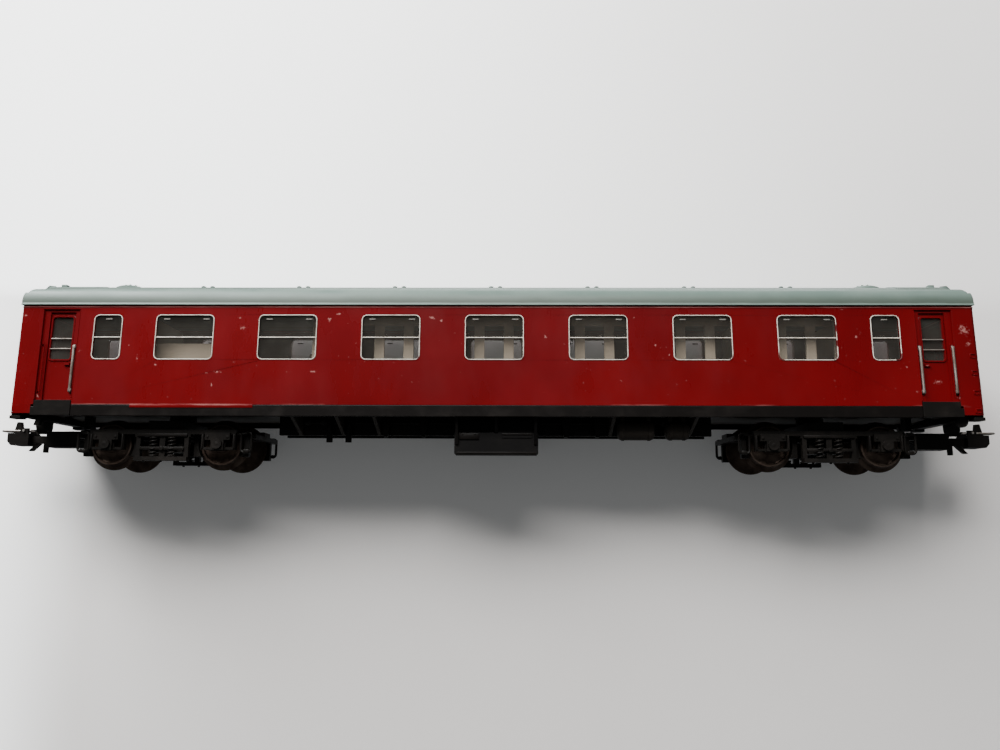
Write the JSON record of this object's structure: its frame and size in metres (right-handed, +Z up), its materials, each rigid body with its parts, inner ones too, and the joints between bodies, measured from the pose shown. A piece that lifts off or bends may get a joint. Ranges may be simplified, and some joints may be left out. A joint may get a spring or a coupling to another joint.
{
  "type": "model passenger coach",
  "caption": "Model railway passenger coach with a glossy red body, grey roof, silver-framed windows, recessed doors, swivelling bogies with free wheelsets, and loop-and-hook couplings.",
  "frame": {"origin": "bottom centre of the coach, on the surface that the wheel flanges stand on, midway between both bogies", "axes": "+X along the coach to its right end as seen from the corridor side, +Y from the corridor side to the compartment side, +Z up"},
  "size_m": [0.2616, 0.033, 0.0507],
  "materials": {
    "red_body": "glossy self-coloured moulding",
    "roof_grey": "satin",
    "clear_glazing": "clear moulding",
    "silver_trim": "printed silver-white",
    "rail_wire": "dull wire",
    "black_plastic": "satin moulding",
    "chassis_black": "satin moulding",
    "gangway_rubber": "matte",
    "coupler_black": "satin moulding",
    "cabin_beige": "plain moulding",
    "steel": "plain",
    "wheel_metal": "browned, with bright worn treads"
  },
  "bodies": {
    "coach_body": {"body_shell": "red_body", "roof": "roof_grey", "roof_ventilators": "roof_grey", "roof_domes": "roof_grey", "roof_lifting_lugs": "roof_grey", "window_glazing_near": "clear_glazing", "window_glazing_far": "clear_glazing", "window_frames_near": "silver_trim", "window_frames_far": "silver_trim", "entry_door_near_right": "red_body", "entry_door_near_left": "red_body", "entry_door_far_right": "red_body", "entry_door_far_left": "red_body", "door_panes": "clear_glazing", "door_window_bars": "silver_trim", "handrails_near": "rail_wire", "handrails_far": "rail_wire", "door_steps": "black_plastic", "gangway_doors": "red_body", "gangway_frames": "gangway_rubber", "end_beams": "black_plastic", "end_lugs": "black_plastic", "corner_steps": "black_plastic", "chassis_floor": "chassis_black", "sole_bar_near": "chassis_black", "sole_bar_far": "chassis_black", "centre_beams": "black_plastic", "cross_ribs": "black_plastic", "battery_box": "black_plastic", "air_tanks": "black_plastic", "underframe_clips": "black_plastic", "ballast_weight": "steel", "cabin_floor": "cabin_beige", "corridor_partition": "cabin_beige", "compartment_walls": "cabin_beige", "seat_benches": "cabin_beige", "bogie_pivot_screws": "steel"},
    "right_bogie": {"right_bogie_frame": "black_plastic", "right_bogie_side_frames": "black_plastic", "right_bogie_springs": "black_plastic", "right_bogie_brake_blocks": "black_plastic", "right_bogie_coupler_pivot_pin": "steel"},
    "right_bogie_outer_wheelset": {"right_bogie_outer_axle": "steel", "right_bogie_outer_wheels": "wheel_metal"},
    "right_bogie_inner_wheelset": {"right_bogie_inner_axle": "steel", "right_bogie_inner_wheels": "wheel_metal"},
    "right_coupler": {"right_bogie_coupler_head": "coupler_black"},
    "right_coupler_loop": {"right_bogie_coupler_loop": "coupler_black"},
    "left_bogie": {"left_bogie_frame": "black_plastic", "left_bogie_side_frames": "black_plastic", "left_bogie_springs": "black_plastic", "left_bogie_brake_blocks": "black_plastic", "left_bogie_coupler_pivot_pin": "steel"},
    "left_bogie_outer_wheelset": {"left_bogie_outer_axle": "steel", "left_bogie_outer_wheels": "wheel_metal"},
    "left_bogie_inner_wheelset": {"left_bogie_inner_axle": "steel", "left_bogie_inner_wheels": "wheel_metal"},
    "left_coupler": {"left_bogie_coupler_head": "coupler_black"},
    "left_coupler_loop": {"left_bogie_coupler_loop": "coupler_black"}
  },
  "joints": [
    {"name": "right_bogie_swivel", "type": "hinge", "parent": "coach_body", "child": "right_bogie", "pos_m": [0.083, 0, 0.0125], "axis": [0, 0, 1], "range_deg": [-20, 20]},
    {"name": "right_bogie_outer_wheelset_spin", "type": "hinge", "parent": "right_bogie", "child": "right_bogie_outer_wheelset", "pos_m": [0.097, 0, 0.0064], "axis": [0, 1, 0], "continuous": true},
    {"name": "right_bogie_inner_wheelset_spin", "type": "hinge", "parent": "right_bogie", "child": "right_bogie_inner_wheelset", "pos_m": [0.069, 0, 0.0064], "axis": [0, 1, 0], "continuous": true},
    {"name": "right_coupler_swing", "type": "hinge", "parent": "right_bogie", "child": "right_coupler", "pos_m": [0.112, 0, 0.0083], "axis": [0, 0, 1], "range_deg": [-8, 8], "stiffness_Nm_per_rad": 0.0004},
    {"name": "right_coupler_loop_lift", "type": "hinge", "parent": "right_coupler", "child": "right_coupler_loop", "pos_m": [0.1239, 0, 0.01055], "axis": [0, -1, 0], "range_deg": [0, 35]},
    {"name": "left_bogie_swivel", "type": "hinge", "parent": "coach_body", "child": "left_bogie", "pos_m": [-0.083, 0, 0.0125], "axis": [0, 0, 1], "range_deg": [-20, 20]},
    {"name": "left_bogie_outer_wheelset_spin", "type": "hinge", "parent": "left_bogie", "child": "left_bogie_outer_wheelset", "pos_m": [-0.097, 0, 0.0064], "axis": [0, 1, 0], "continuous": true},
    {"name": "left_bogie_inner_wheelset_spin", "type": "hinge", "parent": "left_bogie", "child": "left_bogie_inner_wheelset", "pos_m": [-0.069, 0, 0.0064], "axis": [0, 1, 0], "continuous": true},
    {"name": "left_coupler_swing", "type": "hinge", "parent": "left_bogie", "child": "left_coupler", "pos_m": [-0.112, 0, 0.0083], "axis": [0, 0, 1], "range_deg": [-8, 8], "stiffness_Nm_per_rad": 0.0004},
    {"name": "left_coupler_loop_lift", "type": "hinge", "parent": "left_coupler", "child": "left_coupler_loop", "pos_m": [-0.1239, 0, 0.01055], "axis": [0, 1, 0], "range_deg": [0, 35]}
  ]
}
